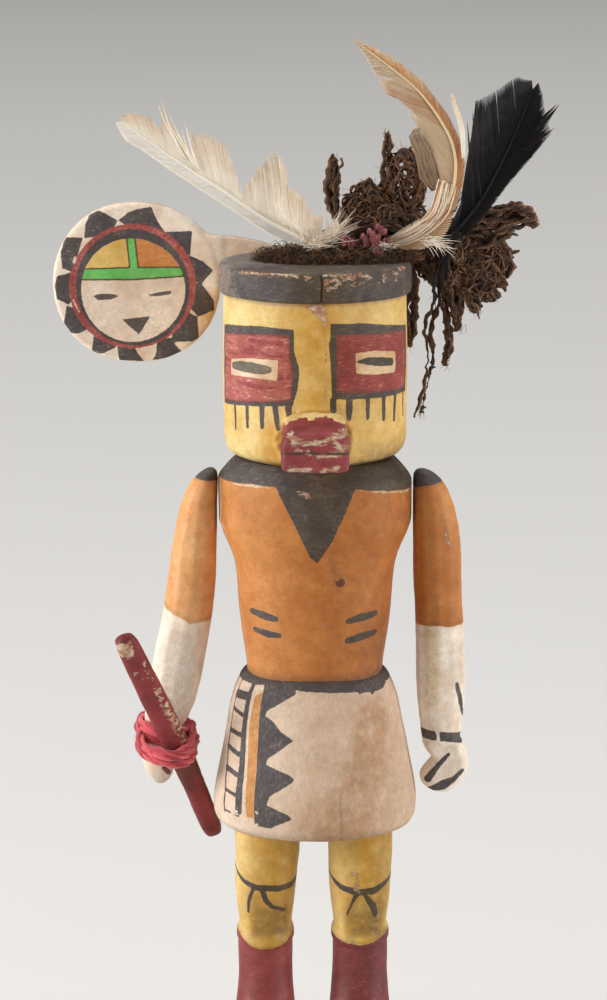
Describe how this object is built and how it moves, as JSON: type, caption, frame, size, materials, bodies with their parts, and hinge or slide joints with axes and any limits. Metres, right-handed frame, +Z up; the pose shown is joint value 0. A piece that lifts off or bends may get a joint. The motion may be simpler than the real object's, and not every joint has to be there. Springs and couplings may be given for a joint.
{
  "type": "kachina doll",
  "caption": "Carved and painted wooden doll with masked cylinder head, pegged arms, hand staff, sun tablet and feather crest on a low round base.",
  "frame": {"origin": "on the underside of the base, below the figure's axis", "axes": "+Z up, the figure faces -Y, its right hand with the staff is on the -X side"},
  "size_m": [0.1621, 0.083, 0.3369],
  "materials": {
    "figure_paint": "matt earth paint over white primer on cottonwood root: yellow, orange, cream, black and red fields, worn and chipped",
    "arm_paint": "matt paint: black shoulder, orange upper arm, off-white forearm",
    "tablet_paint": "matt cream board with painted sun face, red ring and black rays",
    "red_paint": "dull dark-red paint with pale primer showing at the edges",
    "red_yarn": "soft wool yarn",
    "white_vane": "white feather, silky, with a pale shaft",
    "tan_vane": "tan feather with an orange-brown outer vane",
    "black_vane": "black feather with a soft grey bloom",
    "brown_fibre": "crinkled dark brown fibre and short down",
    "bare_wood": "bare sawn cottonwood root, smoothed"
  },
  "bodies": {
    "root": {"figure": "figure_paint", "snout": "red_paint", "right_arm": "arm_paint", "left_arm": "arm_paint", "sun_tablet": "tablet_paint", "staff": "red_paint", "staff_lashing": "red_yarn", "white_feather": "white_vane", "tan_feather": "tan_vane", "black_feather": "black_vane", "feather_tie": "red_yarn", "crown_down": "brown_fibre", "fibre_tassel": "brown_fibre", "base": "bare_wood"}
  },
  "joints": []
}
